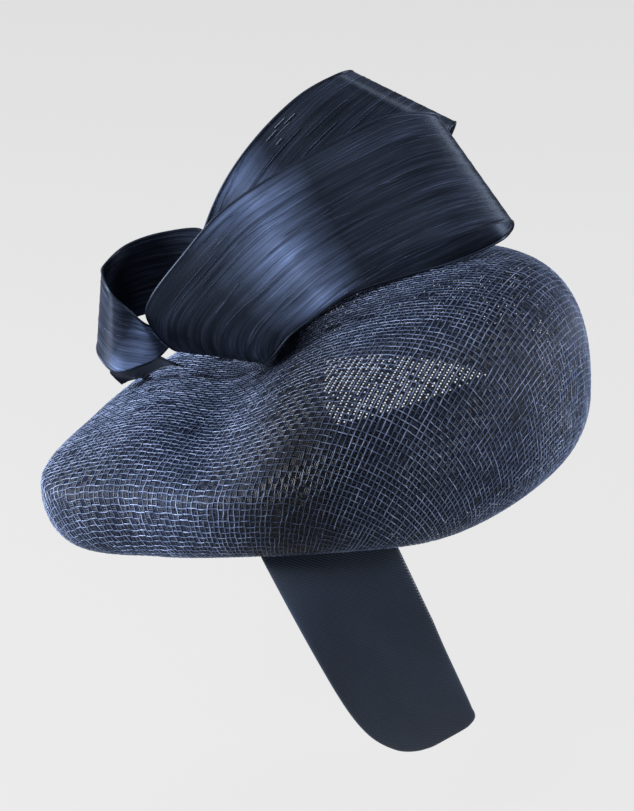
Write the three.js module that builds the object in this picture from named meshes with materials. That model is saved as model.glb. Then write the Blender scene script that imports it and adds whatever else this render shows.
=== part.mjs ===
// Percher pillbox hat of woven straw with ribbon loops, on a covered headband.
// Millimetres, +Z up. The wearer faces -X, and the origin is where the head's top touches the headband.

import * as THREE from "three";

// Driving sizes of the crown
const crownLength = 208;
const crownDepth = 176;
const crownRise = 62;
const crownWall = 1.6;
const crownX = 30;
const crownY = 3;
const turnUnder = 15;
const dentDepth = 13;
const dentWidth = 24;
const dentX = -38;
const dentSkew = 0.1;

// Driving sizes of the opening on the underside
const openingLength = 142;
const openingDepth = 84;
const openingX = 34;
const openingY = -4;
const openingRise = 10;
const openingBearing = 15;
const openingSlope = 0.2;

// Driving sizes of the headband
const bandWidth = 48;
const bandThickness = 3;
const bandSpan = 134;
const bandDrop = 130;
const bandCrownDrop = 80;
const bandTipSpan = 118;
const bandLean = 27.5;
const bandTurn = 10;
const archPower = 2.2;
const archRound = 0.62;
const seatMargin = 6;
const seatSpare = 1;

// Driving sizes of the ribbons
const ribbonWall = 1;
const knotX = -13;
const knotY = 0;
const largeLength = 107;
const largeDepth = 22;
const largeHeight = 97;
const upperLength = 87;
const upperDepth = 51;
const upperHeight = 102;
const smallLength = 48;
const smallDepth = 20;
const smallHeight = 45;
const tailLength = 44;
const tailDepth = 22;
const tailHeight = 8;
const ribbonRest = 0.6;

// Clearance between pieces that meet, and how finely they are felt for it
const clearance = 0.3;
const feelAround = 180;
const feelAcross = 20;

// Crown outline. Columns: bearing in degrees from +X towards +Y, reach from the crown's middle as a
// share of crownLength, and the heights of the widest line and of the rim as shares of crownRise.
const crownRows = [
  [0, 0.457, 0.08, -0.26],
  [30, 0.45, 0.12, -0.13],
  [60, 0.44, 0.22, -0.08],
  [90, 0.415, 0.19, -0.08],
  [120, 0.4, 0.08, -0.16],
  [150, 0.405, -0.05, -0.29],
  [175, 0.46, -0.18, -0.5],
  [200, 0.567, -0.32, -0.67],
  [222, 0.49, -0.27, -0.62],
  [245, 0.452, -0.18, -0.53],
  [270, 0.43, -0.1, -0.48],
  [300, 0.42, -0.03, -0.47],
  [330, 0.437, 0.05, -0.35],
];

// Depth of the crown's outline rows as a share of crownLength
const outlineShare = 11 / 13;

// Headband edges. Columns: share of the way from the middle to a tip, and the places of the front
// edge and of the rear edge as shares of bandWidth.
const bandRows = [
  [0, -0.5, 0.46],
  [0.4, -0.54, 0.44],
  [0.7, -0.55, 0.36],
  [0.85, -0.5, 0.33],
  [0.94, -0.38, 0.31],
  [0.98, -0.25, 0.29],
  [1, -0.08, 0.18],
];

// Crown top: height at the middle as a share of crownRise, its slope to the rear, and the powers
// that round its shoulder outwards and upwards
const topHeight = 0.61;
const topSlope = 0.4;
const shoulderOut = 3;
const shoulderUp = 2.5;

// Parts of the way down the crown: its top ends, then its roll under ends. The underside rises to
// the opening by this power.
const topPart = 0.6;
const rollPart = 0.2;
const underPower = 1.4;

// Loops and tail. Columns: place of the low edge (x, y, z) and of the high edge (x, y, z) of one
// line across the ribbon, as shares of the piece's length, depth and height, from the knot.
const largeRows = [
  [0.14, -0.45, 0.01, -0.18, -0.27, 0.05],
  [0.17, -0.64, 0.06, -0.26, -0.73, 0.19],
  [0.23, -0.73, 0.15, -0.26, -0.91, 0.3],
  [0.32, -0.73, 0.23, -0.14, -1, 0.49],
  [0.43, -0.73, 0.32, -0.01, -1, 0.66],
  [0.57, -0.68, 0.42, 0.16, -0.91, 0.79],
  [0.73, -0.55, 0.5, 0.36, -0.73, 0.91],
  [0.88, -0.36, 0.55, 0.56, -0.45, 1],
  [1, 0.09, 0.55, 0.73, 0, 0.98],
  [0.98, 0.5, 0.45, 0.7, 0.45, 0.89],
  [0.82, 0.5, 0.36, 0.54, 0.64, 0.78],
  [0.62, 0.5, 0.29, 0.33, 0.64, 0.62],
  [0.42, 0.45, 0.21, 0.13, 0.45, 0.43],
  [0.22, 0.45, 0.04, -0.04, 0.23, 0.2],
  [0.13, 0, -0.01, -0.13, 0.05, 0.06],
];
const upperRows = [
  [0.18, 0.31, -0.03, -0.12, 0.31, 0.09],
  [0.27, 0.39, 0.14, -0.14, 0.39, 0.29],
  [0.43, 0.43, 0.29, -0.08, 0.43, 0.47],
  [0.54, 0.47, 0.37, 0.01, 0.47, 0.63],
  [0.66, 0.51, 0.5, 0.15, 0.51, 0.79],
  [0.82, 0.55, 0.65, 0.32, 0.53, 0.93],
  [0.95, 0.61, 0.77, 0.48, 0.59, 1],
  [1, 0.78, 0.79, 0.55, 0.75, 0.99],
  [0.94, 0.94, 0.65, 0.49, 0.9, 0.92],
  [0.76, 1, 0.44, 0.32, 0.98, 0.78],
  [0.56, 0.94, 0.32, 0.15, 0.94, 0.61],
  [0.37, 0.82, 0.19, 0.02, 0.82, 0.41],
  [0.25, 0.63, 0.1, -0.07, 0.67, 0.22],
  [0.18, 0.47, -0.01, -0.11, 0.47, 0.11],
];
const smallRows = [
  [-0.42, -0.1, 0.16, -0.47, -0.1, 0.27],
  [-0.53, -0.68, 0.1, -0.61, -0.76, 0.4],
  [-0.67, -0.9, 0.06, -0.73, -1, 0.55],
  [-0.86, -0.9, 0.01, -0.87, -1, 0.7],
  [-1, -0.5, 0.12, -0.95, -0.6, 0.81],
  [-0.97, 0.1, 0.19, -0.94, 0, 0.82],
  [-0.83, 0.7, 0.21, -0.78, 0.6, 0.9],
  [-0.6, 0.8, 0.28, -0.5, 0.8, 0.98],
  [-0.37, 0.7, 0.3, -0.19, 0.7, 1.01],
  [-0.42, 0.3, 0.18, -0.34, 0.4, 0.75],
];
// The tail's heights are over the crown.
const tailRows = [
  [-0.35, 0.18, 0.9, -0.44, 0.18, 1],
  [-0.5, 0.41, 0.8, -0.67, 0.36, 0.85],
  [-0.62, 0.6, 0.6, -0.89, 0.55, 0.65],
  [-0.7, 0.77, 0.4, -1.01, 0.7, 0.45],
  [-0.73, 0.95, 0.1, -0.99, 0.9, 0.1],
  [-0.69, 1.15, 0, -0.93, 1.12, 0],
];

const degrees = Math.PI / 180;

// A smooth value at a place between rows. With a period the rows run round and close.
function between(rows, place, column, period) {
  const count = rows.length;
  const wrapped = (i) => ((i % count) + count) % count;
  const held = (i) => Math.min(Math.max(i, 0), count - 1);
  const row = (i) => rows[period ? wrapped(i) : held(i)];
  const at = (i) => row(i)[0] + (period ? Math.floor(i / count) * period : 0);
  let i = count - 1;
  if (!period) i = count - 2;
  while (i > 0 && at(i) > place) i -= 1;
  const span = at(i + 1) - at(i);
  const share = (place - at(i)) / span;
  const slope = (k) => {
    const width = at(k + 1) - at(k - 1);
    return width ? (row(k + 1)[column] - row(k - 1)[column]) / width : 0;
  };
  const s2 = share * share;
  const s3 = s2 * share;
  return (
    row(i)[column] * (2 * s3 - 3 * s2 + 1) +
    row(i + 1)[column] * (3 * s2 - 2 * s3) +
    slope(i) * span * (s3 - 2 * s2 + share) +
    slope(i + 1) * span * (s3 - s2)
  );
}

// A closed solid of a curved sheet: surface(s, t) gives its points, both from 0 to 1. The sheet's
// thickness lies between outer and inner, measured along its normal.
function sheetSolid(surface, steps, closed, outer, inner) {
  const rows = closed ? steps.s : steps.s + 1;
  const columns = steps.t + 1;
  const place = (i, j) => [i / steps.s, j / steps.t];
  const nudge = 0.002;
  const normalAt = (s, t) => {
    const s0 = closed ? s - nudge : Math.max(s - nudge, 0);
    const s1 = closed ? s + nudge : Math.min(s + nudge, 1);
    const t0 = Math.max(t - nudge, 0);
    const t1 = Math.min(t + nudge, 1);
    const alongS = surface(s1, t).sub(surface(s0, t));
    const alongT = surface(s, t1).sub(surface(s, t0));
    return alongS.cross(alongT).normalize();
  };
  const positions = [];
  const put = (side) => {
    for (let i = 0; i < rows; i += 1) {
      for (let j = 0; j < columns; j += 1) {
        const [s, t] = place(i, j);
        const point = surface(s, t).addScaledVector(normalAt(s, t), side(s, t));
        positions.push(point.x, point.y, point.z);
      }
    }
  };
  put(outer);
  put(inner);
  const faces = [];
  const layer = rows * columns;
  const at = (side, i, j) => side * layer + (i % rows) * columns + j;
  const quad = (a, b, c, d) => faces.push(a, b, c, a, c, d);
  const spans = closed ? rows : rows - 1;
  for (let i = 0; i < spans; i += 1) {
    for (let j = 0; j < columns - 1; j += 1) {
      quad(at(0, i, j), at(0, i + 1, j), at(0, i + 1, j + 1), at(0, i, j + 1));
      quad(at(1, i, j), at(1, i, j + 1), at(1, i + 1, j + 1), at(1, i + 1, j));
    }
    quad(at(0, i, 0), at(1, i, 0), at(1, i + 1, 0), at(0, i + 1, 0));
    const last = columns - 1;
    quad(at(0, i, last), at(0, i + 1, last), at(1, i + 1, last), at(1, i, last));
  }
  if (!closed) {
    for (let j = 0; j < columns - 1; j += 1) {
      quad(at(0, 0, j), at(0, 0, j + 1), at(1, 0, j + 1), at(1, 0, j));
      const end = rows - 1;
      quad(at(0, end, j), at(1, end, j), at(1, end, j + 1), at(0, end, j + 1));
    }
  }
  const geometry = new THREE.BufferGeometry();
  geometry.setAttribute("position", new THREE.Float32BufferAttribute(positions, 3));
  geometry.setIndex(faces);
  geometry.computeVertexNormals();
  return geometry;
}

// Headband: its arch lies in a plane that leans back, and its width runs square to that plane
const lean = bandLean * degrees;
const down = new THREE.Vector3(Math.sin(lean), 0, -Math.cos(lean));
const rearwards = new THREE.Vector3(Math.cos(lean), 0, Math.sin(lean));

// How far the arch has dropped where it is this far out from its middle
function archDrop(out) {
  const share = Math.min(Math.abs(out) / (bandSpan / 2), 1);
  return bandCrownDrop * (1 - Math.pow(1 - Math.pow(share, archPower), 1 / archPower));
}

// The arch from the near tip (0) to the far tip (1): how far out it is, and how far down
function archPoint(s) {
  const side = s < 0.5 ? -1 : 1;
  const share = Math.abs(2 * s - 1);
  if (share < archRound) {
    const turn = (share / archRound) * 90 * degrees;
    const out = (bandSpan / 2) * Math.pow(Math.sin(turn), 2 / archPower);
    const drop = bandCrownDrop * (1 - Math.pow(Math.cos(turn), 2 / archPower));
    return [side * out, drop];
  }
  const leg = (share - archRound) / (1 - archRound);
  const out = bandSpan / 2 - ((bandSpan - bandTipSpan) / 2) * leg * leg;
  return [side * out, bandCrownDrop + (bandDrop - bandCrownDrop) * leg];
}

// The headband's inner face, from its front edge (t 0) to its rear edge (t 1)
function bandSurface(s, t) {
  const [out, drop] = archPoint(s);
  const share = Math.abs(2 * s - 1);
  const front = between(bandRows, share, 1) * bandWidth;
  const rear = between(bandRows, share, 2) * bandWidth;
  const point = new THREE.Vector3(0, out, 0).addScaledVector(down, drop);
  return point.addScaledVector(rearwards, front + (rear - front) * t);
}

const turned = bandTurn * degrees;

// Height of the headband's outer face over a place near the top of the arch
function bandTop(x, y) {
  const back = x * Math.cos(turned) + y * Math.sin(turned);
  const out = y * Math.cos(turned) - x * Math.sin(turned);
  return back * Math.tan(lean) + (bandThickness - archDrop(out)) / Math.cos(lean);
}

// How far the crown reaches out from its middle
function crownReach(bearing) {
  return between(crownRows, bearing, 1, 360) * crownLength;
}

// Share of the crown's width that a place has, as its depth is set apart from its length
const depthShare = crownDepth / (outlineShare * crownLength);

// Height of the crown's top at a share of its reach
function topAt(bearing, share) {
  const reach = crownReach(bearing);
  const x = share * reach * Math.cos(bearing * degrees);
  const y = share * reach * Math.sin(bearing * degrees);
  const waist = between(crownRows, bearing, 2, 360) * crownRise;
  const plane = topHeight * crownRise + topSlope * x;
  const fall = Math.pow(Math.max(1 - Math.pow(share, shoulderOut), 0), 1 / shoulderUp);
  const off = (x - dentX - dentSkew * y) / dentWidth;
  const dent = dentDepth * Math.exp(-off * off) * fall;
  return waist + (plane - waist) * fall - dent;
}

// Height of the crown's top over a place
function crownTopAt(x, y) {
  const dx = x - crownX;
  const dy = (y - crownY) / depthShare;
  const bearing = (Math.atan2(dy, dx) / degrees + 360) % 360;
  const share = Math.hypot(dx, dy) / crownReach(bearing);
  return topAt(bearing, Math.min(share, 1));
}

// The opening's edge, a sloping oval
function openingEdge(bearing) {
  const turn = (bearing - openingBearing) * degrees;
  const alongShare = Math.cos(turn) / (openingLength / 2);
  const acrossShare = Math.sin(turn) / (openingDepth / 2);
  const half = 1 / Math.hypot(alongShare, acrossShare);
  const x = half * Math.cos(bearing * degrees);
  const y = half * Math.sin(bearing * degrees);
  return new THREE.Vector3(openingX + x, openingY + y, openingRise + openingSlope * x);
}

// The crown's outside from the middle of its top (t 0) to the edge of its opening (t 1)
function crownSurface(s, t) {
  const bearing = ((1 - s) * 360 + 360) % 360;
  const reach = crownReach(bearing);
  const waist = between(crownRows, bearing, 2, 360) * crownRise;
  const rim = between(crownRows, bearing, 3, 360) * crownRise;
  const placeAt = (out, height) => {
    const x = crownX + out * Math.cos(bearing * degrees);
    return new THREE.Vector3(x, crownY + depthShare * out * Math.sin(bearing * degrees), height);
  };
  if (t <= topPart) {
    const turn = (t / topPart) * 90 * degrees;
    const share = Math.pow(Math.sin(turn), 2 / shoulderOut);
    return placeAt(share * reach, topAt(bearing, share));
  }
  if (t <= topPart + rollPart) {
    const turn = ((t - topPart) / rollPart) * 90 * degrees;
    return placeAt(reach - turnUnder * (1 - Math.cos(turn)), waist - (waist - rim) * Math.sin(turn));
  }
  const share = (t - topPart - rollPart) / (1 - topPart - rollPart);
  const start = placeAt(reach - turnUnder, rim);
  const edge = openingEdge(bearing);
  const point = start.clone().lerp(edge, share);
  point.z = start.z + (edge.z - start.z) * Math.pow(share, underPower);
  return point;
}

// How far a piece is lifted so that it clears what is under it by the clearance
function liftOver(points, heightUnder) {
  let least = Infinity;
  for (const point of points) {
    least = Math.min(least, point.z - heightUnder(point.x, point.y));
  }
  return clearance - least;
}

// Points of the crown's underside that lie over the headband
function crownUnderside() {
  const points = [];
  const underStart = topPart + rollPart;
  for (let i = 0; i < feelAround; i += 1) {
    for (let j = 0; j <= feelAcross; j += 1) {
      const point = crownSurface(i / feelAround, underStart + (j / feelAcross) * (1 - underStart));
      const back = point.x * Math.cos(turned) + point.y * Math.sin(turned);
      const out = point.y * Math.cos(turned) - point.x * Math.sin(turned);
      const along = back * Math.cos(lean) + point.z * Math.sin(lean);
      const afterFront = along > bandRows[0][1] * bandWidth - seatSpare;
      const beforeRear = along < bandRows[0][2] * bandWidth + seatSpare;
      if (afterFront && beforeRear && Math.abs(out) < bandSpan / 2 - seatMargin) points.push(point);
    }
  }
  return points;
}

// A ribbon's surface along its rows (s) and across from its low edge to its high edge (t)
function ribbonSurface(rows, sizes, closed) {
  const numbered = rows.map((row, i) => [i, ...row]);
  const span = closed ? rows.length : rows.length - 1;
  const edge = (place, first) => {
    const value = (k) => between(numbered, place, first + k, closed ? span : undefined) * sizes[k];
    return new THREE.Vector3(value(0), value(1), value(2));
  };
  return (s, t) => {
    const place = closed ? ((s * span) % span + span) % span : s * span;
    return edge(place, 1).lerp(edge(place, 4), t);
  };
}

function gridPoints(surface) {
  const points = [];
  for (let i = 0; i <= feelAround; i += 1) {
    for (let j = 0; j <= feelAcross; j += 1) {
      points.push(surface(i / feelAround, j / feelAcross));
    }
  }
  return points;
}

// Materials
const straw = new THREE.MeshStandardMaterial({ color: 0x27304a, roughness: 0.55, metalness: 0 });
const satin = new THREE.MeshStandardMaterial({ color: 0x1f2838, roughness: 0.5, metalness: 0 });
const ribbon = new THREE.MeshStandardMaterial({ color: 0x222c46, roughness: 0.38, metalness: 0 });

function named(name, geometry, material) {
  const mesh = new THREE.Mesh(geometry, material);
  mesh.name = name;
  return mesh;
}

const group = new THREE.Group();

const bandOut = () => 0;
const bandIn = () => -bandThickness;
const bandSteps = { s: 64, t: 4 };
const headband = named("headband", sheetSolid(bandSurface, bandSteps, false, bandOut, bandIn), satin);
headband.rotation.z = turned;
group.add(headband);

const hat = new THREE.Group();
hat.position.z = liftOver(crownUnderside(), bandTop);
group.add(hat);

const crownOut = () => 0;
const crownIn = () => -crownWall;
const crownSteps = { s: 56, t: 26 };
hat.add(named("crown", sheetSolid(crownSurface, crownSteps, true, crownOut, crownIn), straw));

const largeSurface = ribbonSurface(largeRows, [largeLength, largeDepth, largeHeight], true);
const upperSurface = ribbonSurface(upperRows, [upperLength, upperDepth, upperHeight], true);
const smallSurface = ribbonSurface(smallRows, [smallLength, smallDepth, smallHeight], true);
const tailOver = ribbonSurface(tailRows, [tailLength, tailDepth, tailHeight], false);

const ribbons = new THREE.Group();
ribbons.position.set(knotX, knotY, 0);
const ribbonPoints = [largeSurface, upperSurface, smallSurface]
  .flatMap((surface) => gridPoints(surface));
const heightUnderKnot = (x, y) => crownTopAt(x + knotX, y + knotY);
ribbons.position.z = liftOver(ribbonPoints, heightUnderKnot) + ribbonRest * ribbonWall;
hat.add(ribbons);

// The tail follows the crown's top
function tailSurface(s, t) {
  const point = tailOver(s, t);
  point.z += heightUnderKnot(point.x, point.y) + ribbonWall - ribbons.position.z;
  return point;
}

const ribbonOut = () => ribbonWall / 2;
const ribbonIn = () => -ribbonWall / 2;
const loopSteps = { s: 60, t: 6 };
const smallSteps = { s: 48, t: 5 };
const tailSteps = { s: 14, t: 3 };
const ribbonPieces = [
  ["large_loop", largeSurface, loopSteps, true],
  ["upper_loop", upperSurface, loopSteps, true],
  ["small_loop", smallSurface, smallSteps, true],
  ["ribbon_tail", tailSurface, tailSteps, false],
];
for (const [name, surface, steps, closed] of ribbonPieces) {
  ribbons.add(named(name, sheetSolid(surface, steps, closed, ribbonOut, ribbonIn), ribbon));
}

export default group;
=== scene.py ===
import math

import bpy
import numpy as np
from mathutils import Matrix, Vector


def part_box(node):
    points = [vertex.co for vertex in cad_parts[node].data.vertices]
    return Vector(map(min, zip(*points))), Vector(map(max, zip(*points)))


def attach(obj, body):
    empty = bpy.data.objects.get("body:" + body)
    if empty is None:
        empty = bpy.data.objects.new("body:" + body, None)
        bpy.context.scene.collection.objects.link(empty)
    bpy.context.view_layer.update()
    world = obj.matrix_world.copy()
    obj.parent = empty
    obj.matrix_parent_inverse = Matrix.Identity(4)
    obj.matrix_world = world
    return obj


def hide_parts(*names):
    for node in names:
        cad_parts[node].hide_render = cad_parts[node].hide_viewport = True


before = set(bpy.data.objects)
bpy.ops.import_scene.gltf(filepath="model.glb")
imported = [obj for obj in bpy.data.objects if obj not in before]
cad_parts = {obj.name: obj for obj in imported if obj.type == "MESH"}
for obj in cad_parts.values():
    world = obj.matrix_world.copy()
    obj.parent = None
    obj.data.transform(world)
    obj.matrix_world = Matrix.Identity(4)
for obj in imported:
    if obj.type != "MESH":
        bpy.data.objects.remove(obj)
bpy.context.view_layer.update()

MM = 0.001
SEED = 7
rng = np.random.default_rng(SEED)

# Crown: its sizes in millimetres and degrees, as the solids have them
CROWN_LENGTH, CROWN_RISE, CROWN_X, CROWN_Y = 208, 62, 30, 3
TURN_UNDER = 15
DENT_DEPTH, DENT_WIDTH, DENT_X, DENT_SKEW = 13, 24, 38, 0.1
OPENING_LENGTH, OPENING_DEPTH, OPENING_X, OPENING_Y = 142, 84, 34, -4
OPENING_RISE, OPENING_BEARING, OPENING_SLOPE = 10, 15, 0.2
TOP_HEIGHT, TOP_SLOPE = 0.61, 0.4
SHOULDER_OUT, SHOULDER_UP = 3, 2.5
TOP_PART, ROLL_PART, UNDER_POWER = 0.6, 0.2, 1.4
# Columns: bearing, reach as a share of the length, widest line and rim as shares of the rise
CROWN_ROWS = np.array(
    [
        [0, 0.457, 0.08, -0.26],
        [30, 0.45, 0.12, -0.13],
        [60, 0.44, 0.22, -0.08],
        [90, 0.415, 0.19, -0.08],
        [120, 0.4, 0.08, -0.16],
        [150, 0.405, -0.05, -0.29],
        [175, 0.46, -0.18, -0.5],
        [200, 0.567, -0.32, -0.67],
        [222, 0.49, -0.27, -0.62],
        [245, 0.452, -0.18, -0.53],
        [270, 0.43, -0.1, -0.48],
        [300, 0.42, -0.03, -0.47],
        [330, 0.437, 0.05, -0.35],
    ]
)

# Ribbons: each one's length, depth and height from the knot
KNOT_X, KNOT_Y = -13, 0
LARGE = (107, 22, 97)
UPPER = (87, 51, 102)
SMALL = (48, 20, 45)
TAIL = (44, 22, 8)
# Columns: the low edge's length, depth and height, then the high edge's, as shares of the sizes
LARGE_ROWS = [
    [0.14, -0.45, 0.01, -0.18, -0.27, 0.05],
    [0.17, -0.64, 0.06, -0.26, -0.73, 0.19],
    [0.23, -0.73, 0.15, -0.26, -0.91, 0.3],
    [0.32, -0.73, 0.23, -0.14, -1, 0.49],
    [0.43, -0.73, 0.32, -0.01, -1, 0.66],
    [0.57, -0.68, 0.42, 0.16, -0.91, 0.79],
    [0.73, -0.55, 0.5, 0.36, -0.73, 0.91],
    [0.88, -0.36, 0.55, 0.56, -0.45, 1],
    [1, 0.09, 0.55, 0.73, 0, 0.98],
    [0.98, 0.5, 0.45, 0.7, 0.45, 0.89],
    [0.82, 0.5, 0.36, 0.54, 0.64, 0.78],
    [0.62, 0.5, 0.29, 0.33, 0.64, 0.62],
    [0.42, 0.45, 0.21, 0.13, 0.45, 0.43],
    [0.22, 0.45, 0.04, -0.04, 0.23, 0.2],
    [0.13, 0, -0.01, -0.13, 0.05, 0.06],
]
UPPER_ROWS = [
    [0.18, 0.31, -0.03, -0.12, 0.31, 0.09],
    [0.27, 0.39, 0.14, -0.14, 0.39, 0.29],
    [0.43, 0.43, 0.29, -0.08, 0.43, 0.47],
    [0.54, 0.47, 0.37, 0.01, 0.47, 0.63],
    [0.66, 0.51, 0.5, 0.15, 0.51, 0.79],
    [0.82, 0.55, 0.65, 0.32, 0.53, 0.93],
    [0.95, 0.61, 0.77, 0.48, 0.59, 1],
    [1, 0.78, 0.79, 0.55, 0.75, 0.99],
    [0.94, 0.94, 0.65, 0.49, 0.9, 0.92],
    [0.76, 1, 0.44, 0.32, 0.98, 0.78],
    [0.56, 0.94, 0.32, 0.15, 0.94, 0.61],
    [0.37, 0.82, 0.19, 0.02, 0.82, 0.41],
    [0.25, 0.63, 0.1, -0.07, 0.67, 0.22],
    [0.18, 0.47, -0.01, -0.11, 0.47, 0.11],
]
SMALL_ROWS = [
    [-0.42, -0.1, 0.16, -0.47, -0.1, 0.27],
    [-0.53, -0.68, 0.1, -0.61, -0.76, 0.4],
    [-0.67, -0.9, 0.06, -0.73, -1, 0.55],
    [-0.86, -0.9, 0.01, -0.87, -1, 0.7],
    [-1, -0.5, 0.12, -0.95, -0.6, 0.81],
    [-0.97, 0.1, 0.19, -0.94, 0, 0.82],
    [-0.83, 0.7, 0.21, -0.78, 0.6, 0.9],
    [-0.6, 0.8, 0.28, -0.5, 0.8, 0.98],
    [-0.37, 0.7, 0.3, -0.19, 0.7, 1.01],
    [-0.42, 0.3, 0.18, -0.34, 0.4, 0.75],
]
TAIL_ROWS = [
    [-0.35, 0.18, 0.9, -0.44, 0.18, 1],
    [-0.5, 0.41, 0.8, -0.67, 0.36, 1.7],
    [-0.62, 0.6, 0.6, -0.89, 0.55, 1.7],
    [-0.7, 0.77, 0.4, -1.01, 0.7, 1.5],
    [-0.73, 0.95, 0.1, -0.99, 0.9, 1.0],
    [-0.69, 1.15, 0, -0.93, 1.12, 0.3],
]
TAIL_GAP, TOP_EDGE_GAP = 1, 0.4

# Headband: its sizes in millimetres and degrees
BAND_WIDTH, BAND_THICK, BAND_SPAN, BAND_DROP = 48, 3, 134, 130
BAND_CROWN_DROP, BAND_TIP_SPAN = 80, 118
BAND_LEAN, BAND_TURN = 27.5, 10
BAND_ROUND, BAND_POWER = 0.62, 2.2
BAND_END, BAND_END_THIN = 0.985, 0.02
SECTION_WIDE, SECTION_THICK = 0.45, 0.55
# Columns: share from the top to the tip, front edge and rear edge as shares of the width
BAND_ROWS = np.array(
    [
        [0, -0.5, 0.46],
        [0.4, -0.54, 0.44],
        [0.7, -0.55, 0.36],
        [0.85, -0.5, 0.33],
        [0.94, -0.38, 0.31],
        [0.98, -0.25, 0.29],
        [1, -0.08, 0.18],
    ]
)

# Straw cloth: the net's step, its slots and its threads in millimetres
PITCH, SLOT_WIDTH = 2.35, 0.55
THREAD_WIDTH, THREAD_RISE = 0.36, 0.2
THREAD_LOW, THREAD_WAVE = 0.03, 0.09
THREAD_A = np.array([-0.43, -0.9])
THREAD_B = np.array([0.9, -0.43])
# Threads step aside at every crossing, more on the front lobe than on the rear one
JOG_FRONT, JOG_REAR, JOG_X, JOG_BLEND, JOG_SHARPNESS = 0.08, 0.025, -6, 10, 5
SWAY, SWAY_ALONG, SWAY_ACROSS = 0.08, 0.15, 0.4
# A few threads are missing for a short way
GAP_CHANCE, GAP_POINTS, SHORTEST_POINTS = 0.04, 9, 4
# Most slots are pressed shut forward of one place and open behind it
TIGHT_X, SHUT_FRONT, SHUT_REAR = 24, 0.98, 0.2
CLOTH_WOBBLE, WOBBLE_U, WOBBLE_V = 0.15, (0.21, 0.11), (0.19, 0.13)
# Painted light and shade: the straw is drawn lighter on the front lobe and darker beside the dent
PAINTED_LIGHT_X, PAINTED_LIGHT_HALF, PAINTED_LIGHT_GAIN = -33, 17, 0.5
PAINTED_SHADE_X, PAINTED_SHADE_HALF, PAINTED_SHADE_LOSS = 13, 18, 0.75


# Curves and surfaces
def between(rows, place, column, period=None):
    """A smooth value at places between rows. With a period the rows close."""
    xs, ys = rows[:, 0], rows[:, column]
    if period:
        xs = np.concatenate([xs[-2:] - period, xs, xs[:3] + period])
        ys = np.concatenate([ys[-2:], ys, ys[:3]])
        place = np.mod(place, period)
    slope = np.empty(len(xs))
    slope[1:-1] = (ys[2:] - ys[:-2]) / (xs[2:] - xs[:-2])
    slope[0] = (ys[1] - ys[0]) / (xs[1] - xs[0])
    slope[-1] = (ys[-1] - ys[-2]) / (xs[-1] - xs[-2])
    i = np.clip(np.searchsorted(xs, place, side="right") - 1, 0, len(xs) - 2)
    span = xs[i + 1] - xs[i]
    f = (place - xs[i]) / span
    return (
        ys[i] * (2 * f**3 - 3 * f**2 + 1)
        + ys[i + 1] * (3 * f**2 - 2 * f**3)
        + slope[i] * span * (f**3 - 2 * f**2 + f)
        + slope[i + 1] * span * (f**3 - f**2)
    )


def unit(v):
    """Vectors of length one."""
    return v / np.maximum(np.linalg.norm(v, axis=-1, keepdims=True), 1e-12)


def run_along(lines):
    """How far each point of a line of points lies from the line's start."""
    steps = np.linalg.norm(np.diff(lines, axis=-2), axis=-1)
    return np.concatenate([np.zeros(steps.shape[:-1] + (1,)), np.cumsum(steps, axis=-1)], axis=-1)


def top_at(bearing, share):
    """Height of the crown's top at a share of the way out, with the dent between the lobes."""
    reach = between(CROWN_ROWS, bearing, 1, 360) * CROWN_LENGTH
    x = share * reach * np.cos(np.radians(bearing))
    y = share * reach * np.sin(np.radians(bearing))
    waist = between(CROWN_ROWS, bearing, 2, 360) * CROWN_RISE
    plane = TOP_HEIGHT * CROWN_RISE + TOP_SLOPE * x
    fall = np.maximum(1 - share**SHOULDER_OUT, 0) ** (1 / SHOULDER_UP)
    off = (x + DENT_X - DENT_SKEW * y) / DENT_WIDTH
    return waist + (plane - waist) * fall - DENT_DEPTH * np.exp(-off * off) * fall


def crown_top(x, y):
    """Height of the crown's top above a place."""
    dx, dy = x - CROWN_X, y - CROWN_Y
    bearing = np.degrees(np.arctan2(dy, dx)) % 360
    share = np.hypot(dx, dy) / (between(CROWN_ROWS, bearing, 1, 360) * CROWN_LENGTH)
    return top_at(bearing, np.minimum(share, 1))


def crown_surface(bearing, t):
    """Points of the crown's outside: its top, the roll under and the underside."""
    bearing, t = np.broadcast_arrays(np.asarray(bearing, float), np.asarray(t, float))
    cos, sin = np.cos(np.radians(bearing)), np.sin(np.radians(bearing))
    reach = between(CROWN_ROWS, bearing, 1, 360) * CROWN_LENGTH
    waist = between(CROWN_ROWS, bearing, 2, 360) * CROWN_RISE
    rim = between(CROWN_ROWS, bearing, 3, 360) * CROWN_RISE
    share = np.sin(np.clip(t / TOP_PART, 0, 1) * math.pi / 2) ** (2 / SHOULDER_OUT)
    out = share * reach
    z = top_at(bearing, share)
    turn = np.clip((t - TOP_PART) / ROLL_PART, 0, 1) * math.pi / 2
    roll = t > TOP_PART
    out = np.where(roll, reach - TURN_UNDER * (1 - np.cos(turn)), out)
    z = np.where(roll, waist - (waist - rim) * np.sin(turn), z)
    x, y = CROWN_X + out * cos, CROWN_Y + out * sin
    way = np.clip((t - TOP_PART - ROLL_PART) / (1 - TOP_PART - ROLL_PART), 0, 1)
    angle = np.radians(bearing - OPENING_BEARING)
    half = 1 / np.hypot(2 * np.cos(angle) / OPENING_LENGTH, 2 * np.sin(angle) / OPENING_DEPTH)
    edge_z = OPENING_RISE + OPENING_SLOPE * half * cos
    x = x + (OPENING_X + half * cos - x) * way
    y = y + (OPENING_Y + half * sin - y) * way
    z = z + (edge_z - z) * way**UNDER_POWER
    return np.stack([x, y, z], -1)


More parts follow.
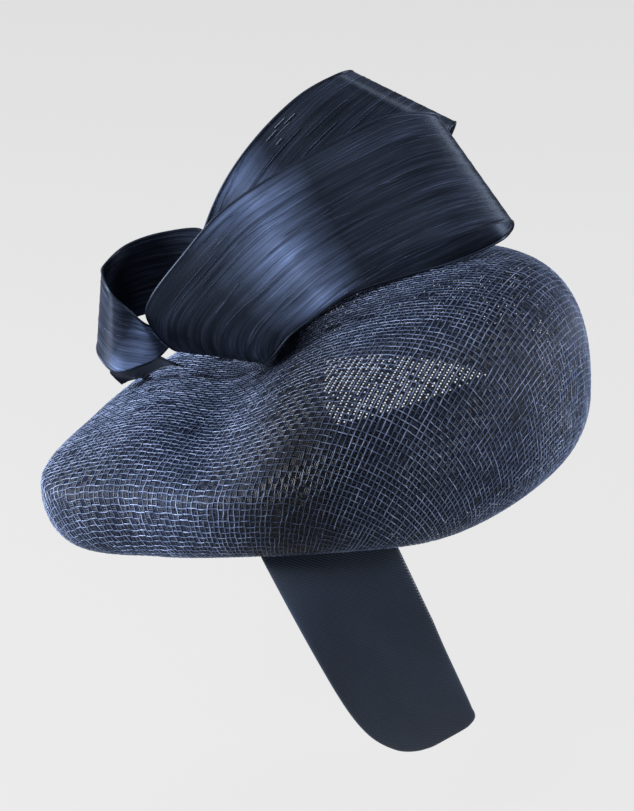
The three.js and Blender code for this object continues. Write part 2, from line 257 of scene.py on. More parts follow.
def ribbon_surface(rows, sizes, closed):
    """A surface between a ribbon's two edges, as a function of shares along and across."""
    numbered = np.column_stack([np.arange(len(rows)), np.array(rows, float)])
    span = len(rows) if closed else len(rows) - 1
    period = span if closed else None

    def surface(s, t):
        s, t = np.broadcast_arrays(np.asarray(s, float), np.asarray(t, float))
        low = [between(numbered, s * span, 1 + k, period) * sizes[k] for k in range(3)]
        high = [between(numbered, s * span, 4 + k, period) * sizes[k] for k in range(3)]
        low, high = np.stack(low, -1), np.stack(high, -1)
        return low + (high - low) * t[..., None]

    return surface


def band_line(s):
    """Places along the headband's arch: how far out and how far down."""
    side = np.where(s < 0.5, -1, 1)
    share = np.abs(2 * s - 1)
    turn = np.clip(share / BAND_ROUND, 0, 1) * math.pi / 2
    out = BAND_SPAN / 2 * np.sin(turn) ** (2 / BAND_POWER)
    drop = BAND_CROWN_DROP * (1 - np.maximum(np.cos(turn), 0) ** (2 / BAND_POWER))
    leg = np.clip((share - BAND_ROUND) / (1 - BAND_ROUND), 0, 1)
    out = out - (BAND_SPAN - BAND_TIP_SPAN) / 2 * leg * leg
    drop = drop + (BAND_DROP - BAND_CROWN_DROP) * leg
    return side * out, drop


# Meshes: how thin a strip is at its ends, and the direction that places the points around a cord
STRIP_END = 0.2
TUBE_UP = np.array([0.3, 0.2, 1.0])


def quads(corner, columns):
    """Quads of a grid, from the numbers of their first corners."""
    return np.stack([corner, corner + columns, corner + columns + 1, corner + 1], -1)


def grid_faces(rows, columns):
    """Quads between all the points of a grid."""
    i = np.arange(rows - 1)[:, None]
    j = np.arange(columns - 1)[None, :]
    return quads(i * columns + j, columns).reshape(-1, 4)


def painted_light_and_shade(x):
    """Painted light and shade along the crown: a factor on the straw's colour, higher on the front lobe
    and lower beside the dent.
    """
    light = PAINTED_LIGHT_GAIN * np.exp(-(((x - PAINTED_LIGHT_X) / PAINTED_LIGHT_HALF) ** 2))
    dark = PAINTED_SHADE_LOSS * np.exp(-(((x - PAINTED_SHADE_X) / PAINTED_SHADE_HALF) ** 2))
    return 1 + light - dark


def piece(name, points, faces, uv, material, slot):
    """A mesh in metres from points in millimetres, which rides on the body."""
    points = np.asarray(points).reshape(-1, 3)
    mesh = bpy.data.meshes.new(name)
    mesh.from_pydata((points * MM).tolist(), [], np.asarray(faces).tolist())
    layer = mesh.uv_layers.new(name="UVMap")
    index = np.empty(len(mesh.loops), dtype=np.int64)
    mesh.loops.foreach_get("vertex_index", index)
    layer.data.foreach_set("uv", np.asarray(uv, float).reshape(-1, 2)[index].ravel())
    # Straw pieces carry painted light and shade as a value on each point
    if slot == "straw":
        depth = mesh.attributes.new("painted_light_and_shade", "FLOAT", "POINT")
        depth.data.foreach_set("value", painted_light_and_shade(points[:, 0]))
    mesh.shade_smooth()
    mesh.materials.append(material)
    thing = bpy.data.objects.new(name, mesh)
    bpy.context.scene.collection.objects.link(thing)
    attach(thing, "root")
    return thing


def strips(lines, width, rise):
    """Raised strips along lines, thinner at their ends. Each line is (points, normals, uv)."""
    points, faces, uv, count = [], [], [], 0
    for line, normal, coords in lines:
        side = unit(np.cross(normal, unit(np.gradient(line, axis=0))))
        taper = np.ones(len(line))
        taper[0] = taper[-1] = STRIP_END
        half = (width / 2 * taper)[:, None] * side
        top = line + (rise * taper)[:, None] * normal
        points.append(np.stack([line - half, top, line + half], 1).reshape(-1, 3))
        faces.append(grid_faces(len(line), 3) + count)
        uv.append(np.repeat(coords, 3, axis=0))
        count += 3 * len(line)
    return np.concatenate(points), np.concatenate(faces), np.concatenate(uv)


def tube(line, radius, sides, closed):
    """A round cord along a line."""
    along = unit(np.gradient(line, axis=0))
    if closed:
        along[0] = along[-1] = unit(line[1] - line[-2])
    side = unit(np.cross(along, TUBE_UP))
    other = np.cross(along, side)
    turn = np.linspace(0, 2 * math.pi, sides + 1)
    ring = np.cos(turn)[None, :, None] * side[:, None] + np.sin(turn)[None, :, None] * other[:, None]
    points = line[:, None] + radius * ring
    uv = np.stack(np.broadcast_arrays(turn[None, :] * radius, run_along(line)[:, None]), -1)
    return points, grid_faces(len(line), sides + 1), uv


# Materials
def new_material(name):
    """A material with its node tree and its shader."""
    material = bpy.data.materials.new(name)
    material.use_nodes = True
    tree = material.node_tree
    return material, tree, tree.nodes["Principled BSDF"]


def node(tree, kind, **values):
    """A new node with some of its settings."""
    made = tree.nodes.new(kind)
    for key, value in values.items():
        setattr(made, key, value)
    return made


def cloth_map(tree, scale, turn=0.0):
    """Cloth coordinates in millimetres, scaled."""
    uv = node(tree, "ShaderNodeUVMap", uv_map="UVMap")
    mapping = node(tree, "ShaderNodeMapping")
    mapping.inputs["Scale"].default_value = (scale[0], scale[1], 1)
    mapping.inputs["Rotation"].default_value = (0, 0, turn)
    tree.links.new(uv.outputs[0], mapping.inputs[0])
    return mapping.outputs[0]


def noise(tree, scale, detail, rough):
    """Noise on the cloth, with a scale across and along in cells to a millimetre."""
    made = node(tree, "ShaderNodeTexNoise")
    made.inputs["Scale"].default_value = 1.0
    made.inputs["Detail"].default_value = detail
    made.inputs["Roughness"].default_value = rough
    tree.links.new(cloth_map(tree, scale), made.inputs["Vector"])
    return made.outputs["Fac"]


def ribs(tree, direction, scale, distortion, turn=0.0):
    """Ribs across the cloth."""
    wave = node(tree, "ShaderNodeTexWave", wave_type="BANDS", bands_direction=direction)
    wave.inputs["Scale"].default_value = scale
    wave.inputs["Distortion"].default_value = distortion
    tree.links.new(cloth_map(tree, (1, 1), turn), wave.inputs["Vector"])
    return wave.outputs["Fac"]


def ramp(tree, value, stops):
    """Colours along a value. They may be brighter than one."""
    made = node(tree, "ShaderNodeValToRGB")
    elements = made.color_ramp.elements
    while len(elements) < len(stops):
        elements.new(0.5)
    peak = max(1.0, max(max(colour) for _, colour in stops))
    for element, (place, colour) in zip(elements, stops):
        element.position = place
        element.color = (*(c / peak for c in colour), 1)
    tree.links.new(value, made.inputs["Fac"])
    scaled = node(tree, "ShaderNodeVectorMath", operation="SCALE")
    scaled.inputs["Scale"].default_value = peak
    tree.links.new(made.outputs["Color"], scaled.inputs[0])
    return scaled.outputs[0]


def mix(tree, kind, factor, a, b):
    """Two colours mixed. Any of the three values may be a socket."""
    made = node(tree, "ShaderNodeMix", data_type="RGBA", blend_type=kind)
    for socket, value in ((made.inputs[0], factor), (made.inputs[6], a), (made.inputs[7], b)):
        if hasattr(value, "is_linked"):
            tree.links.new(value, socket)
        else:
            socket.default_value = value
    return made.outputs[2]


def times(tree, a, b, factor=1.0):
    """One colour multiplied by another."""
    return mix(tree, "MULTIPLY", factor, a, b)


def with_painted_light_and_shade(tree, colour):
    """The colour, with painted light and shade from the mesh's own values."""
    value = node(tree, "ShaderNodeAttribute", attribute_name="painted_light_and_shade")
    return times(tree, colour, value.outputs["Fac"])


def coat(tree, shader, colour, roughness, specular, anisotropic=0.0, tint=(1, 1, 1, 1)):
    """Give the shader its colour and its gloss."""
    tree.links.new(colour, shader.inputs["Base Color"])
    shader.inputs["Roughness"].default_value = roughness
    shader.inputs["Specular IOR Level"].default_value = specular
    shader.inputs["Anisotropic"].default_value = anisotropic
    shader.inputs["Specular Tint"].default_value = tint


def bump(tree, shader, height, distance, strength):
    """Fine relief, with its height in millimetres."""
    made = node(tree, "ShaderNodeBump")
    made.inputs["Distance"].default_value = distance * MM
    made.inputs["Strength"].default_value = strength
    tree.links.new(height, made.inputs["Height"])
    tree.links.new(made.outputs["Normal"], shader.inputs["Normal"])


def straw_material():
    """Matt woven straw, with specks, with ribs that turn from cell to cell, and with painted light and
    shade.
    """
    material, tree, shader = new_material("straw_cloth")
    fine = noise(tree, (1.6, 1.6), detail=3, rough=0.7)
    broad = noise(tree, (0.05, 0.05), detail=2, rough=0.5)
    cells = node(tree, "ShaderNodeTexChecker")
    cells.inputs["Scale"].default_value = 1.0
    tree.links.new(cloth_map(tree, (1 / PITCH, 1 / PITCH)), cells.inputs["Vector"])
    across, down = (ribs(tree, "X", 0.42, 0.6, turn) for turn in (0, math.pi / 2))
    rib = mix(tree, "MIX", cells.outputs["Fac"], across, down)
    speck = ramp(tree, fine, STRAW_STOPS)
    tint = ramp(tree, broad, [(0.3, (0.75, 0.78, 0.85)), (0.7, (1.25, 1.25, 1.3))])
    colour = times(tree, times(tree, speck, tint), rib, factor=0.5)
    coat(tree, shader, with_painted_light_and_shade(tree, colour), roughness=0.45, specular=0.15)
    bump(tree, shader, mix(tree, "MIX", 0.4, rib, fine), distance=0.35, strength=0.8)
    return material


def thread_material():
    """The raised threads, lighter and glossier than the cloth under them, with painted light and shade."""
    material, tree, shader = new_material("straw_threads")
    colour = ramp(tree, noise(tree, (0.12, 0.8), detail=2, rough=0.6), THREAD_STOPS)
    coat(tree, shader, with_painted_light_and_shade(tree, colour), roughness=0.28, specular=0.2, tint=(0.5, 0.66, 1, 1))
    return material


def ribbon_material(name, colours, relief, sheen=((0, 0), (1, 0)), slant=0.0, gloss=0.4):
    """Fibre ribbon with a painted sheen in its colour. Sheen lists shares of RUN along it and how strong
    the painted sheen is there.
    """
    material, tree, shader = new_material(name)
    place = node(tree, "ShaderNodeVectorMath", operation="DOT_PRODUCT")
    place.inputs[1].default_value = (-slant, 1 / RUN, 0)
    tree.links.new(cloth_map(tree, (1, 1)), place.inputs[0])
    band = ramp(tree, place.outputs["Value"], [(p, (v, v, v)) for p, v in sheen])
    streak = noise(tree, (2.0, 0.03), detail=3, rough=0.7)
    patch = noise(tree, (0.07, 0.03), detail=2, rough=0.5)
    wide = noise(tree, (0.45, 0.015), detail=2, rough=0.6)
    plain = ramp(tree, streak, list(zip((0.35, 0.55, 0.75), colours)))
    bright = ramp(tree, streak, list(zip((0.3, 0.52, 0.75), PAINTED_SHEEN_COLOURS)))
    shade = ramp(tree, wide, [(0.35, (0.5, 0.5, 0.5)), (0.6, (1.15, 1.15, 1.15))])
    tint = ramp(tree, patch, [(0.38, (0.7, 0.7, 0.72)), (0.66, (1.2, 1.25, 1.35))])
    # Painted sheen: a band of lighter blue mixed into the ribbon's colour
    colour = times(tree, times(tree, mix(tree, "MIX", band, plain, bright), shade), tint)
    coat(tree, shader, colour, 0.55, gloss, anisotropic=0.95, tint=(0.5, 0.68, 1, 1))
    tangent = node(tree, "ShaderNodeTangent", direction_type="UV_MAP", uv_map="UVMap")
    tree.links.new(tangent.outputs[0], shader.inputs["Tangent"])
    bump(tree, shader, streak, distance=relief, strength=0.9)
    return material


def satin_material():
    """Dark satin with fine slanting ribs."""
    material, tree, shader = new_material("satin")
    rib = ribs(tree, "DIAGONAL", 0.5, 0.35)
    broad = noise(tree, (0.05, 0.03), detail=2, rough=0.5)
    tint = ramp(tree, broad, [(0.3, (0.8, 0.8, 0.85)), (0.7, (1.2, 1.2, 1.2))])
    colour = times(tree, ramp(tree, rib, SATIN_STOPS), tint)
    coat(tree, shader, colour, roughness=0.45, specular=0.22, anisotropic=0.5)
    bump(tree, shader, rib, distance=0.12, strength=0.6)
    return material


# Colours: stops of place and colour for cloth, and dark, middle and light colours for ribbon
STRAW_STOPS = [(0.36, (0.002, 0.004, 0.008)), (0.55, (0.008, 0.013, 0.028)), (0.7, (0.055, 0.08, 0.15))]
THREAD_STOPS = [(0.35, (0.03, 0.042, 0.078)), (0.52, (0.08, 0.107, 0.185)), (0.68, (0.2, 0.25, 0.4))]
SATIN_STOPS = [(0.0, (0.009, 0.015, 0.028)), (1.0, (0.016, 0.026, 0.047))]
RIBBON_COLOURS = (0.006, 0.008, 0.013), (0.018, 0.023, 0.038), (0.055, 0.07, 0.12)
# Colours of the painted sheen on the ribbons
PAINTED_SHEEN_COLOURS = (0.11, 0.15, 0.27), (0.21, 0.29, 0.52), (0.36, 0.48, 0.8)
FIBRE_COLOURS = (0.015, 0.02, 0.04), (0.04, 0.05, 0.09), (0.12, 0.14, 0.19)
SLUB_COLOURS = (0.08, 0.09, 0.12), (0.16, 0.18, 0.22), (0.27, 0.29, 0.34)
# Painted sheen: a length in millimetres, stops as shares of it, and the slant for a millimetre across
RUN = 300
LARGE_PAINTED_SHEEN = (0.1, 0), (0.13, 0.15), (0.165, 0.5), (0.193, 0.9), (0.212, 0.55), (0.235, 0.25), (0.265, 0)
UPPER_PAINTED_SHEEN = (0.08, 0), (0.11, 0.2), (0.135, 0.7), (0.15, 0.9), (0.165, 0.7), (0.185, 0.25), (0.205, 0)
SMALL_PAINTED_SHEEN = (0.03, 0.2), (0.06, 0.7), (0.074, 0.5), (0.09, 0.05), (0.1, 0), (1, 0)
LOOP_SLANT, SMALL_SLANT, SMALL_GLOSS = 0.0013, -0.0018, 0.1
RIBBON_RELIEF, FIBRE_RELIEF, SLUB_RELIEF = 0.1, 0.05, 0.02

STRAW = straw_material()
THREAD = thread_material()
LARGE_RIBBON = ribbon_material("large_ribbon", RIBBON_COLOURS, RIBBON_RELIEF, LARGE_PAINTED_SHEEN, LOOP_SLANT)
UPPER_RIBBON = ribbon_material("upper_ribbon", RIBBON_COLOURS, RIBBON_RELIEF, UPPER_PAINTED_SHEEN, LOOP_SLANT)
SMALL_RIBBON = ribbon_material(
    "small_ribbon", RIBBON_COLOURS, RIBBON_RELIEF, SMALL_PAINTED_SHEEN, SMALL_SLANT, SMALL_GLOSS
)
RIBBON = ribbon_material("ribbon", RIBBON_COLOURS, RIBBON_RELIEF)
FIBRE = ribbon_material("ribbon_fibre", FIBRE_COLOURS, FIBRE_RELIEF)
SATIN = satin_material()
SLUB = ribbon_material("slub", SLUB_COLOURS, SLUB_RELIEF)

# Crown's net: meridians from the middle of the top, measured out evenly in millimetres
STEP, MERIDIAN_POINTS, CLOTH_END = 0.5, 401, 0.87
NORMAL_STEP = 0.5
bearings = np.arange(0, 361, 1.0)
ts = np.linspace(0, 1, MERIDIAN_POINTS)
meridians = crown_surface(bearings[:, None], ts[None, :])
crown_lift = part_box("crown")[1].z / MM - meridians[..., 2].max()
meridians[..., 2] += crown_lift
runs_out = run_along(meridians)
marks = np.arange(int(runs_out.max() / STEP) + 2) * STEP
even = np.stack(
    [
        np.stack([np.interp(marks, run, line[:, k]) for k in range(3)], -1)
        for run, line in zip(runs_out, meridians)
    ]
)
cloth_end = np.array([np.interp(CLOTH_END, ts, run) for run in runs_out])
net_reach = cloth_end.max() + PITCH
net_cells = int(net_reach / PITCH) + 1


def polar(u, v):
    """Distance and bearing of a place of the net from the middle of the top."""
    way = u[..., None] * THREAD_A + v[..., None] * THREAD_B
    bearing = np.degrees(np.arctan2(way[..., 1], way[..., 0])) % 360
    return np.hypot(u, v), bearing


def cloth_edge(bearing):
    """How far out the cloth reaches."""
    return np.interp(bearing, bearings, cloth_end)


def on_crown(u, v):
    """Places of the net on the crown, with their distances true outwards."""
    r, bearing = polar(u, v)
    r = np.minimum(r, cloth_edge(bearing))
    b = np.floor(bearing).astype(int) % 360
    k = np.floor(r / STEP).astype(int)
    turned = (bearing - np.floor(bearing))[..., None]
    out = (r / STEP - k)[..., None]
    low = even[b, k] * (1 - out) + even[b, k + 1] * out
    high = even[b + 1, k] * (1 - out) + even[b + 1, k + 1] * out
    return low * (1 - turned) + high * turned


def crown_normal(u, v):
    """Directions out of the crown at places of the net."""
    d = NORMAL_STEP
    return unit(np.cross(on_crown(u + d, v) - on_crown(u - d, v), on_crown(u, v + d) - on_crown(u, v - d)))


def slots(pitch, start):
    """Edges of the slots between the straws, on either side of the threads."""
    middle = np.arange(-int(net_reach / pitch) - 1, int(net_reach / pitch) + 2) * pitch + start
    return np.sort(np.concatenate([middle - SLOT_WIDTH / 2, middle + SLOT_WIDTH / 2]))


def crown_cloth():
    """The cloth as a net of quads, with real holes where its slots are open."""
    u, v = np.meshgrid(slots(PITCH / 2, PITCH / 4), slots(PITCH, PITCH / 2), indexing="ij")
    shift_u = CLOTH_WOBBLE * np.sin(v * WOBBLE_U[0] + np.sin(u * WOBBLE_U[1]))
    shift_v = CLOTH_WOBBLE * np.sin(u * WOBBLE_V[0] + np.sin(v * WOBBLE_V[1]))
    u, v = u + shift_u, v + shift_v
    r, bearing = polar(u, v)
    inside = r <= cloth_edge(bearing) + PITCH
    points = on_crown(u, v)
    rows, columns = u.shape
    i, j = np.meshgrid(np.arange(rows - 1), np.arange(columns - 1), indexing="ij")
    slot = (i % 2 == 0) & (j % 2 == 0)
    chance = np.where(points[:-1, :-1, 0] < TIGHT_X, SHUT_FRONT, SHUT_REAR)
    shut = rng.random(slot.shape) < chance
    whole = inside[:-1, :-1] & inside[1:, :-1] & inside[1:, 1:] & inside[:-1, 1:]
    faces = quads((i * columns + j)[whole & ~(slot & ~shut)], columns)
    used = np.unique(faces)
    renumber = np.full(rows * columns, -1)
    renumber[used] = np.arange(len(used))
    uv = np.stack([u, v], -1).reshape(-1, 2)[used]
    cloth = piece("crown_cloth", points.reshape(-1, 3)[used], renumber[faces], uv, STRAW, "straw")
    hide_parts("crown")


# Underside: where it starts, its rows, every how many degrees, its lift and its cloth in millimetres
UNDER_START, UNDER_ROWS, UNDER_DEGREES, UNDER_LIFT = 0.83, 16, 2, 0.35
UNDER_AROUND, UNDER_INWARDS = 1.4, 140
BINDING_RADIUS, BINDING_SIDES = 0.9, 8


def crown_underside():
    """The cloth below, from inside the rim to the bound edge of the opening."""
    bearing = bearings[::-UNDER_DEGREES, None]
    t = np.linspace(UNDER_START, 1, UNDER_ROWS)[None, :]
    under = crown_surface(bearing, t) + np.array([0, 0, crown_lift + UNDER_LIFT])
    uv = np.stack(np.broadcast_arrays(bearing * UNDER_AROUND, t * UNDER_INWARDS), -1)
    piece("crown_underside", under, grid_faces(*under.shape[:2]), uv, STRAW, "straw")
    piece("opening_binding", *tube(under[:, -1], BINDING_RADIUS, BINDING_SIDES, True), SATIN, "straw")


# Threads: points to a cell, the least distance from the cloth's edge, and cloth between two of them
PER_CELL, THREAD_MARGIN, THREAD_APART = 3, 0.5, 7.3


def stretches(shown):
    """First and end index of each stretch where a row of yes and no says yes."""
    padded = np.concatenate([[False], shown, [False]])
    return np.flatnonzero(padded[1:] != padded[:-1]).reshape(-1, 2)


def threads(name, first):
    """One family of the net's threads, which rise over every second cell."""
    way_along, way_across = (THREAD_A, THREAD_B) if first else (THREAD_B, THREAD_A)
    phase = 0 if first else 1
    along = np.arange(-net_cells * PER_CELL, net_cells * PER_CELL + 1) * PITCH / PER_CELL
    lines = []
    for k in range(-net_cells, net_cells + 1):
        step = np.tanh(JOG_SHARPNESS * np.sin(math.pi * (along / PITCH + k) / 2))
        net_x = along * way_along[0] + k * PITCH * way_across[0]
        front = 0.5 - 0.5 * np.tanh((net_x - JOG_X) / JOG_BLEND)
        jog = JOG_REAR + (JOG_FRONT - JOG_REAR) * front
        sway = SWAY * np.sin(along * SWAY_ALONG + k * SWAY_ACROSS)
        across = k * PITCH + sway + jog * PITCH * step
        u, v = (along, across) if first else (across, along)
        r, bearing = polar(u, v)
        present = rng.random(len(along) // GAP_POINTS + 2).repeat(GAP_POINTS)[: len(along)] > GAP_CHANCE
        shown = (r < cloth_edge(bearing) - THREAD_MARGIN) & present
        height = THREAD_LOW + THREAD_WAVE * (1 + np.cos(math.pi * (along / PITCH + k + phase)))
        normal = crown_normal(u, v)
        line = on_crown(u, v) + height[:, None] * normal
        coords = np.stack([along, np.full(len(along), k * THREAD_APART)], -1)
        for start, end in stretches(shown):
            if end - start >= SHORTEST_POINTS:
                lines.append((line[start:end], normal[start:end], coords[start:end]))
    piece(name, *strips(lines, THREAD_WIDTH, THREAD_RISE), THREAD, "straw")


# Headband's cover: points along the arch, and around its section
BAND_STEPS, BAND_ROUNDS = 260, 28


def headband_cover():
    """The satin arch, as a flat rounded section carried along the line of the arch."""
    s = np.linspace(0, 1, BAND_STEPS)
    out, drop = band_line(s)
    lean, turned = math.radians(BAND_LEAN), math.radians(BAND_TURN)
    down = np.array([math.sin(lean), 0, -math.cos(lean)])
    rearwards = np.array([math.cos(lean), 0, math.sin(lean)])
    line = out[:, None] * np.array([0, 1, 0]) + drop[:, None] * down
    outward = unit(np.cross(rearwards, unit(np.gradient(line, axis=0))))
    outward *= np.sign((outward * (line - down * BAND_CROWN_DROP / 2)).sum(-1, keepdims=True))
    share = np.abs(2 * s - 1)
    front = between(BAND_ROWS, share, 1) * BAND_WIDTH
    rear = between(BAND_ROWS, share, 2) * BAND_WIDTH
    turn = np.linspace(0, 2 * math.pi, BAND_ROUNDS + 1)
    wide = np.sign(np.cos(turn)) * np.abs(np.cos(turn)) ** SECTION_WIDE
    thick = np.sign(np.sin(turn)) * np.abs(np.sin(turn)) ** SECTION_THICK
    middle, half = (front + rear) / 2, (rear - front) / 2
    past_end = ((share - BAND_END) / (1 - BAND_END)).clip(0)
    ends = np.sqrt(np.clip(1 - past_end**2, BAND_END_THIN, 1))
    band = (
        line[:, None]
        + (middle[:, None] + half[:, None] * wide[None, :])[..., None] * rearwards
        + (BAND_THICK / 2 * (1 + thick[None, :] * ends[:, None]))[..., None] * outward[:, None]
    )
    cos, sin = math.cos(turned), math.sin(turned)
    band = band @ np.array([[cos, sin, 0], [-sin, cos, 0], [0, 0, 1]])
    across = half[:, None] * wide[None, :] + thick[None, :]
    uv = np.stack(np.broadcast_arrays(across, run_along(line)[:, None]), -1)
    cover = piece("headband_cover", band, grid_faces(BAND_STEPS, BAND_ROUNDS + 1), uv, SATIN, "satin")
    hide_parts("headband")


crown_cloth()
crown_underside()
threads("crown_threads_across", True)
threads("crown_threads_down", False)
headband_cover()

# Ribbons: their surfaces, and the lift that sets the large loop's top in its place
large = ribbon_surface(LARGE_ROWS, LARGE, True)
upper = ribbon_surface(UPPER_ROWS, UPPER, True)
small = ribbon_surface(SMALL_ROWS, SMALL, True)
tail_over = ribbon_surface(TAIL_ROWS, TAIL, False)
SEEK_ALONG, SEEK_ACROSS = 241, 15
seek = np.meshgrid(np.linspace(0, 1, SEEK_ALONG), np.linspace(0, 1, SEEK_ACROSS), indexing="ij")
ribbon_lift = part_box("large_loop")[1].z / MM - TOP_EDGE_GAP - large(*seek)[..., 2].max()
SHIFT = np.array([KNOT_X, KNOT_Y, ribbon_lift])


def tail(s, t):
    """The tail's surface, which follows the crown's top."""
    place = tail_over(s, t)
    top = crown_top(place[..., 0] + KNOT_X, place[..., 1] + KNOT_Y)
    place[..., 2] += top + crown_lift + TAIL_GAP - ribbon_lift
    return place


# Ribbon cloth in millimetres, and the share of it that a normal is measured over
RIBBON_THICK, HEM_RADIUS, HEM_SIDES = 0.4, 0.5, 6
NUDGE = 0.002
# Gathers: deepest near the knot, flat at the edges, bent along the ribbon, with finer ones between
KNOT_REACH, EDGE_POWER = 0.16, 0.3
BEND, BEND_ALONG, BEND_START = 2.2, 5.0, 1.0
FINE_DEPTH, FINE_COUNT, FINE_ALONG = 0.5, 2.3, 4
# Fibres: sizes in millimetres, shares of the ribbon, and the cloth that their colours are taken from
FIBRE_WIDTH, FIBRE_RISE, FIBRE_ABOVE, FIBRE_POINTS, SHORTEST_STEP = 0.2, 0.12, 0.24, 18, 0.05
FIBRE_EDGE, FIBRE_LENGTHS, FIBRE_DRIFT = 0.03, (0.03, 0.16), 0.05
END_MARGIN, EDGE_MARGIN = 0.001, 0.01
FIBRE_ACROSS, FIBRE_APART, FIBRE_ALONG = 50, 40, 100
SLUB_WIDTH, SLUB_RISE, SLUB_POINTS, SLUB_APART = 0.3, 0.15, 12, 90


def gathered(surface, closed, gathers):
    """A ribbon's normals, and its places with gathers of (everywhere, at the knot, how many)."""
    depth, knot_depth, count = gathers

    def normal_at(s, t):
        """Directions out of the ribbon."""
        before, after = s - NUDGE, s + NUDGE
        if not closed:
            before, after = np.clip(before, 0, 1), np.clip(after, 0, 1)
        step_s = surface(after, t) - surface(before, t)
        step_t = surface(s, np.clip(t + NUDGE, 0, 1)) - surface(s, np.clip(t - NUDGE, 0, 1))
        return unit(np.cross(step_s, step_t))

    def place(s, t, above=0.0):
        """Places on the ribbon, or above it by some millimetres."""
        near_knot = np.exp(-((np.minimum(s, 1 - s) / KNOT_REACH) ** 2))
        wave = np.sin(t * 2 * math.pi * count + BEND * np.sin(s * BEND_ALONG) + BEND_START)
        wave = wave + FINE_DEPTH * np.sin(t * 2 * math.pi * count * FINE_COUNT + FINE_ALONG * s)
        lifted = (depth + knot_depth * near_knot) * wave * np.sin(t * math.pi) ** EDGE_POWER
        return surface(s, t) + (lifted + above)[..., None] * normal_at(s, t) + SHIFT

    return normal_at, place


def fibre(place, normal_at, outside):
    """One loose fibre on a ribbon, at a random place."""
    t0 = rng.uniform(FIBRE_EDGE, 1 - FIBRE_EDGE)
    s0 = rng.uniform(0, 1)
    length = rng.uniform(*FIBRE_LENGTHS)
    s = np.clip(np.linspace(s0, s0 + length, FIBRE_POINTS), END_MARGIN, 1 - END_MARGIN)
    drift = rng.uniform(-FIBRE_DRIFT, FIBRE_DRIFT) * np.linspace(0, 1, FIBRE_POINTS) ** 2
    t = np.clip(t0 + drift, EDGE_MARGIN, 1 - EDGE_MARGIN)
    uv = np.stack([t * FIBRE_ACROSS + t0 * FIBRE_APART, s * FIBRE_ALONG], -1)
    return place(s, t, FIBRE_ABOVE * outside), normal_at(s, t) * outside, uv


def slub(place, normal_at, outside, s0, t0, length):
    """One short thick thread on a ribbon, as a piece of its own."""
    s, t = np.linspace(s0, s0 + length, SLUB_POINTS), np.full(SLUB_POINTS, t0)
    uv = np.full((SLUB_POINTS, 2), t0 * SLUB_APART)
    line = place(s, t, FIBRE_ABOVE * outside), normal_at(s, t) * outside, uv
    name = f"slub_{round(t0 * 1000)}_{round(s0 * 1000)}"
    piece(name, *strips([line], SLUB_WIDTH, SLUB_RISE), SLUB, "ribbon")


def hems(name, place, s, closed):
    """Cords along both edges of a ribbon."""
    cords, count = [], 0
    for edge_t in (0.0, 1.0):
        points, faces, uv = tube(place(s, np.full(len(s), edge_t)), HEM_RADIUS, HEM_SIDES, closed)
        cords.append((points.reshape(-1, 3), faces + count, uv.reshape(-1, 2)))
        count += len(cords[-1][0])
    piece(name, *(np.concatenate(part) for part in zip(*cords)), RIBBON, "ribbon")


def ribbon(name, node_name, surface, closed, steps, gathers, hold, material, slubs=()):
    """A ribbon with its slubs, fibres and hems. Steps are along, across and how many fibres."""
    normal_at, place = gathered(surface, closed, gathers)
    s = np.linspace(0, 1, steps[0] + 1)
    t = np.linspace(0, 1, steps[1] + 1)
    grid = np.meshgrid(s, t, indexing="ij")
    points = place(*grid)
    across = run_along(points)
    down = run_along(points.swapaxes(0, 1))
    middle = steps[1] // 2
    uv = np.stack(np.broadcast_arrays(across - across[:, middle, None], down[middle, :, None]), -1)
    made = piece(name, points, grid_faces(len(s), len(t)), uv, material, "ribbon")
    thick = made.modifiers.new("thickness", "SOLIDIFY")
    thick.thickness = RIBBON_THICK * MM
    thick.offset = 0
    flat = (across[:, -1].max(), down[:, -1].max())
    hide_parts(node_name)

    away = place(*grid, 1.0) - points
    outside = np.sign((away * (points - points.mean(axis=(0, 1)))).sum(-1).mean())
    lines = [fibre(place, normal_at, outside) for _ in range(steps[2])]
    gaps = [np.linalg.norm(np.diff(line[0], axis=0), axis=1).min() for line in lines]
    lines = [line for line, gap in zip(lines, gaps) if gap > SHORTEST_STEP]
    for row in slubs:
        slub(place, normal_at, outside, *row)
    piece(name + "_fibres", *strips(lines, FIBRE_WIDTH, FIBRE_RISE), FIBRE, "ribbon")
    hems(name + "_hems", place, s, closed)
    return flat


# Slubs: share along the upper ribbon, share across it and length as a share
SLUBS = (0.28, 0.93, 0.02), (0.29, 0.9, 0.03), (0.3, 0.95, 0.02), (0.312, 0.92, 0.02), (0.283, 0.86, 0.012)
LOOP_STEPS, SMALL_STEPS, TAIL_STEPS = (300, 40, 60), (200, 30, 30), (60, 16, 20)
LOOP_GATHERS, SMALL_GATHERS, TAIL_GATHERS = (0.04, 0.1, 9), (0.04, 0.1, 8), (0.05, 0.1, 2)
flats = {}
for job in (
    ("large_ribbon", "large_loop", large, True, LOOP_STEPS, LOOP_GATHERS, "folded", LARGE_RIBBON),
    ("upper_ribbon", "upper_loop", upper, True, LOOP_STEPS, LOOP_GATHERS, "folded", UPPER_RIBBON, SLUBS),
    ("small_ribbon", "small_loop", small, True, SMALL_STEPS, SMALL_GATHERS, "folded", SMALL_RIBBON),
    ("tail_ribbon", "ribbon_tail", tail, False, TAIL_STEPS, TAIL_GATHERS, "laid", RIBBON),
):
    flats[job[0]] = ribbon(*job)
print("flat sizes in mm:", {name: (round(flat[0]), round(flat[1])) for name, flat in flats.items()})

# Stage: a pale floor, soft lights and the photograph's camera
FLOOR_Z, FLOOR_HALF = -0.17, 6
FLOOR_COLOUR, FLOOR_GLOW, FLOOR_ROUGHNESS, FLOOR_SPECULAR = (0.08, 0.08, 0.08, 1), 0.67, 0.9, 0.1
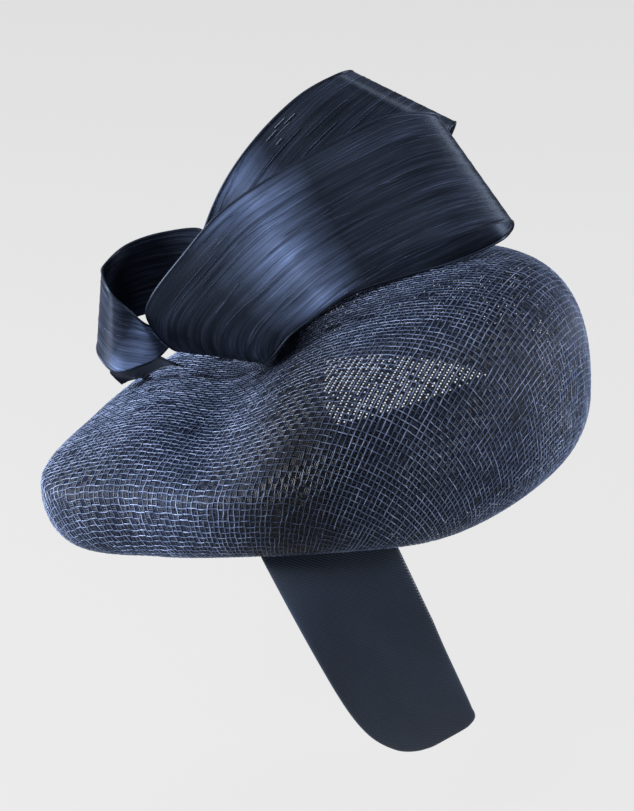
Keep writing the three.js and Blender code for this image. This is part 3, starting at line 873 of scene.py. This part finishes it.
# Columns: name, place in metres, size in metres and power in watts
LIGHTS = (
    ("left", (-1.55, -0.2, 0.4), 0.6, 85),
    ("right", (1.6, 0.0, 0.5), 0.6, 36),
    ("key", (-0.67, -1.43, 1.06), 0.35, 6),
    ("top", (0.2, 0.6, 1.6), 0.9, 3),
)
LIGHT_AIM = Vector((0.02, 0, 0.02))
SKY_COLOUR, SKY_STRENGTH = (0.95, 0.97, 1, 1), 0.2
CAMERA_PLACE, CAMERA_TARGET = Vector((0.0213, -1.40954, 0.51403)), Vector((0.0213, 0, 0.001))
CAMERA_LENS, SENSOR_WIDTH, CLIP_END = 175.2, 36, 20


def aim(thing, place, target):
    """Put a light or the camera in its place and turn it to a target."""
    thing.location = place
    thing.rotation_mode = "QUATERNION"
    thing.rotation_quaternion = (target - Vector(place)).to_track_quat("-Z", "Y")
    bpy.context.scene.collection.objects.link(thing)


def plain_floor():
    """A wide pale floor that glows a little, so that it looks even."""
    mesh = bpy.data.meshes.new("floor")
    corners = ((-1, -1), (1, -1), (1, 1), (-1, 1))
    mesh.from_pydata([(x * FLOOR_HALF, y * FLOOR_HALF, FLOOR_Z) for x, y in corners], [], [(0, 1, 2, 3)])
    material, _, shader = new_material("floor")
    shader.inputs["Base Color"].default_value = FLOOR_COLOUR
    shader.inputs["Emission Color"].default_value = (1, 1, 1, 1)
    shader.inputs["Emission Strength"].default_value = FLOOR_GLOW
    shader.inputs["Roughness"].default_value = FLOOR_ROUGHNESS
    shader.inputs["Specular IOR Level"].default_value = FLOOR_SPECULAR
    mesh.materials.append(material)
    floor = bpy.data.objects.new("floor", mesh)
    bpy.context.scene.collection.objects.link(floor)
    return floor


def soft_light(name, place, size, power):
    """A round soft light."""
    data = bpy.data.lights.new(name, "AREA")
    data.shape = "DISK"
    data.size = size
    data.energy = power
    lamp = bpy.data.objects.new(name, data)
    aim(lamp, place, LIGHT_AIM)
    return lamp


plain_floor()
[soft_light(*row) for row in LIGHTS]

world = bpy.data.worlds.new("studio")
world.use_nodes = True
world.node_tree.nodes["Background"].inputs[0].default_value = SKY_COLOUR
world.node_tree.nodes["Background"].inputs[1].default_value = SKY_STRENGTH
bpy.context.scene.world = world

camera_data = bpy.data.cameras.new("camera")
camera_data.lens = CAMERA_LENS
camera_data.sensor_width = SENSOR_WIDTH
camera_data.clip_end = CLIP_END
camera = bpy.data.objects.new("camera", camera_data)
aim(camera, CAMERA_PLACE, CAMERA_TARGET)
bpy.context.scene.camera = camera
bpy.context.scene.view_settings.view_transform = "Standard"
